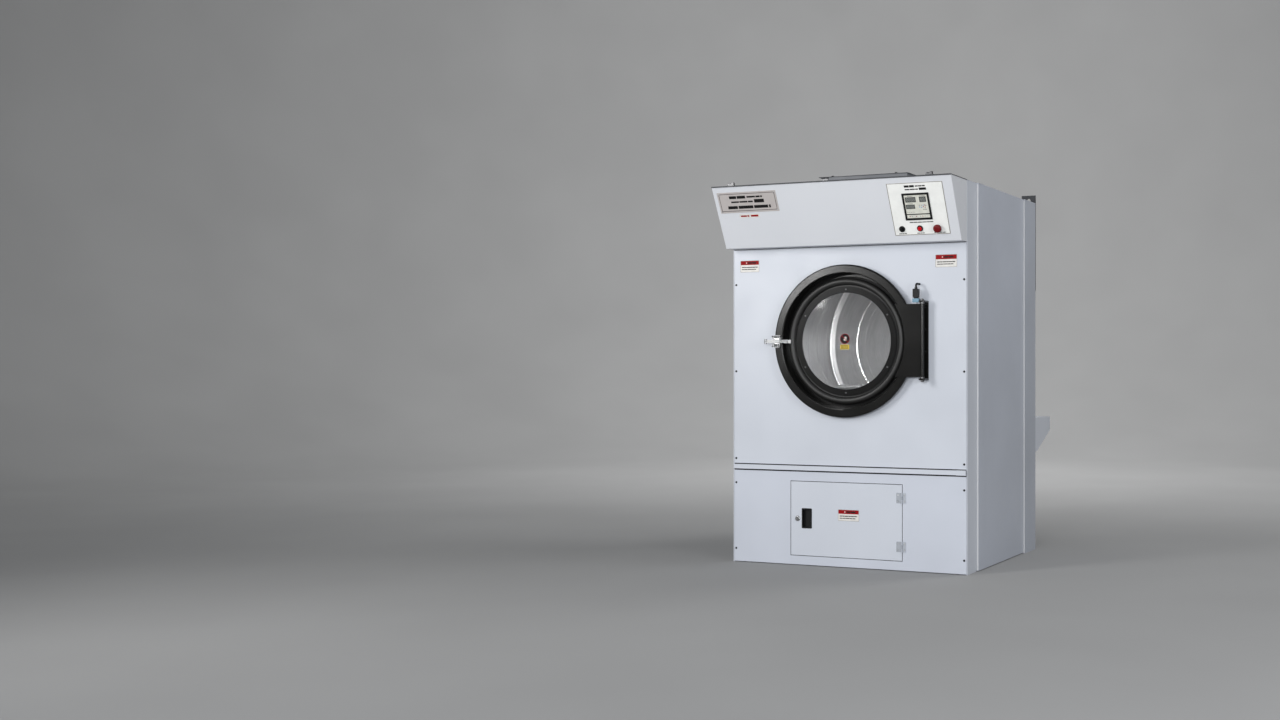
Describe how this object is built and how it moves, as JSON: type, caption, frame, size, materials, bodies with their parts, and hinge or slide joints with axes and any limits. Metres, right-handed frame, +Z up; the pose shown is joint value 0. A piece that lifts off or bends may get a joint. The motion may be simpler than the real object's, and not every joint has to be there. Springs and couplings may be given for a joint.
{
  "type": "commercial tumble dryer",
  "caption": "Tall front-loading industrial tumble dryer with a leaning console, a round glazed door in a deep ring, a lint door, a ribbed drum, a rear belt drive and a roof heater box.",
  "frame": {"origin": "on the floor, at the centre of the four anchor holes, which is the centre of the cabinet's footprint", "axes": "+X to the right of a person facing the dryer, +Y from the front to the back, +Z up"},
  "size_m": [1.344, 1.622, 2.039],
  "materials": {
    "powder_coat": "semi-gloss pale grey powder coat",
    "charcoal_paint": "satin charcoal paint",
    "chrome": "polished chrome plate",
    "zinc_steel": "zinc plated steel",
    "stainless": "brushed stainless steel",
    "galvanised": "galvanised sheet",
    "frame_steel": "dark grey painted steel",
    "black_screw": "black oxide",
    "overlay": "printed polyester overlay, satin",
    "black_plastic": "moulded plastic",
    "red_plastic": "moulded plastic, semi-gloss",
    "blue_plastic": "moulded plastic, satin",
    "label": "printed vinyl label",
    "nameplate_metal": "anodised plate",
    "glass": "toughened glass",
    "rubber": "moulded rubber",
    "cast_iron": "painted casting",
    "motor_paint": "blue-grey enamel",
    "mesh": "woven wire mesh"
  },
  "bodies": {
    "cabinet": {"base_rails": "frame_steel", "front_posts": "powder_coat", "rear_posts": "powder_coat", "left_side_panel": "powder_coat", "right_side_panel": "powder_coat", "rear_panel": "powder_coat", "top_panel": "powder_coat", "front_upper_panel": "powder_coat", "front_lower_panel": "powder_coat", "front_rail": "powder_coat", "panel_screws": "black_screw", "header_shell": "powder_coat", "header_lid": "frame_steel", "control_plate": "overlay", "display_module": "black_plastic", "button_collars": "black_plastic", "nameplate": "nameplate_metal", "door_ring": "charcoal_paint", "door_gasket": "rubber", "hinge_bracket": "charcoal_paint", "hinge_pin": "zinc_steel", "catch_bracket": "chrome", "switch_head": "blue_plastic", "switch_body": "black_plastic", "switch_lead": "rubber", "lint_hinges": "zinc_steel", "lint_screen": "mesh", "rear_beams": "galvanised", "drum_bearing": "cast_iron", "motor_shelf": "powder_coat", "drive_motor": "motor_paint", "drive_belt": "rubber", "blower_housing": "galvanised", "blower_motor": "motor_paint", "heater_box": "galvanised", "heater_lid": "galvanised", "heater_coil": "stainless", "lifting_lugs": "frame_steel"},
    "door": {"door_rim": "charcoal_paint", "glass_ring": "charcoal_paint", "glass_screws": "zinc_steel", "door_glass": "glass", "hinge_plate": "charcoal_paint", "door_handle": "chrome"},
    "lint_door": {"lint_door": "powder_coat", "lint_door_pull": "black_plastic"},
    "cam_lock": {"cam_lock": "chrome"},
    "drum": {"drum_shell": "stainless", "drum_back": "stainless", "drum_lifters": "stainless", "drum_shaft": "zinc_steel", "drum_pulley": "cast_iron"},
    "motor_pulley": {"motor_pulley": "cast_iron"},
    "blower_wheel": {"blower_wheel": "galvanised"},
    "estop_button": {"estop_button": "red_plastic"},
    "start_button": {"start_button": "red_plastic"},
    "selector_knob": {"selector_knob": "black_plastic"},
    "switch_plunger": {"switch_plunger": "zinc_steel"},
    "catch_roller_upper": {"catch_roller_upper": "chrome"},
    "catch_roller_lower": {"catch_roller_lower": "chrome"}
  },
  "joints": [
    {"name": "door_hinge", "type": "hinge", "parent": "cabinet", "child": "door", "pos_m": [0.433, -0.597, 1.153], "axis": [0, 0, 1], "range_deg": [0, 170]},
    {"name": "lint_door_hinge", "type": "hinge", "parent": "cabinet", "child": "lint_door", "pos_m": [0.306, -0.549, 0.242], "axis": [0, 0, 1], "range_deg": [0, 120]},
    {"name": "cam_lock_turn", "type": "hinge", "parent": "lint_door", "child": "cam_lock", "pos_m": [-0.275, -0.545, 0.241], "axis": [0, -1, 0], "range_deg": [0, 90]},
    {"name": "drum_spin", "type": "hinge", "parent": "cabinet", "child": "drum", "pos_m": [0, 0, 1.153], "axis": [0, 1, 0], "continuous": true},
    {"name": "motor_spin", "type": "hinge", "parent": "cabinet", "child": "motor_pulley", "pos_m": [0.33, 0.605, 0.85], "axis": [0, 1, 0], "continuous": true},
    {"name": "blower_spin", "type": "hinge", "parent": "cabinet", "child": "blower_wheel", "pos_m": [0.1, 0.215, 0.245], "axis": [1, 0, 0], "continuous": true},
    {"name": "estop_press", "type": "slide", "parent": "cabinet", "child": "estop_button", "axis": [0, 0.8891, 0.4578], "range_m": [0, 0.005]},
    {"name": "start_press", "type": "slide", "parent": "cabinet", "child": "start_button", "axis": [0, 0.8891, 0.4578], "range_m": [0, 0.003], "stiffness_N_per_m": 300, "springref_m": -0.002},
    {"name": "selector_turn", "type": "hinge", "parent": "cabinet", "child": "selector_knob", "pos_m": [0.352, -0.65641, 1.69995], "axis": [0, -0.8891, -0.4578], "range_deg": [-45, 45]},
    {"name": "switch_plunger_press", "type": "slide", "parent": "cabinet", "child": "switch_plunger", "axis": [0, 0, 1], "range_m": [0, 0.003], "stiffness_N_per_m": 200, "springref_m": -0.002},
    {"name": "catch_roller_upper_slide", "type": "slide", "parent": "cabinet", "child": "catch_roller_upper", "axis": [0, 0, 1], "range_m": [0, 0.003], "stiffness_N_per_m": 3000, "springref_m": -0.001},
    {"name": "catch_roller_lower_slide", "type": "slide", "parent": "cabinet", "child": "catch_roller_lower", "axis": [0, 0, -1], "range_m": [0, 0.003], "stiffness_N_per_m": 3000, "springref_m": -0.001}
  ],
  "couplings": [
    {"joint": "motor_spin", "follows": "drum_spin", "ratio": 4}
  ]
}
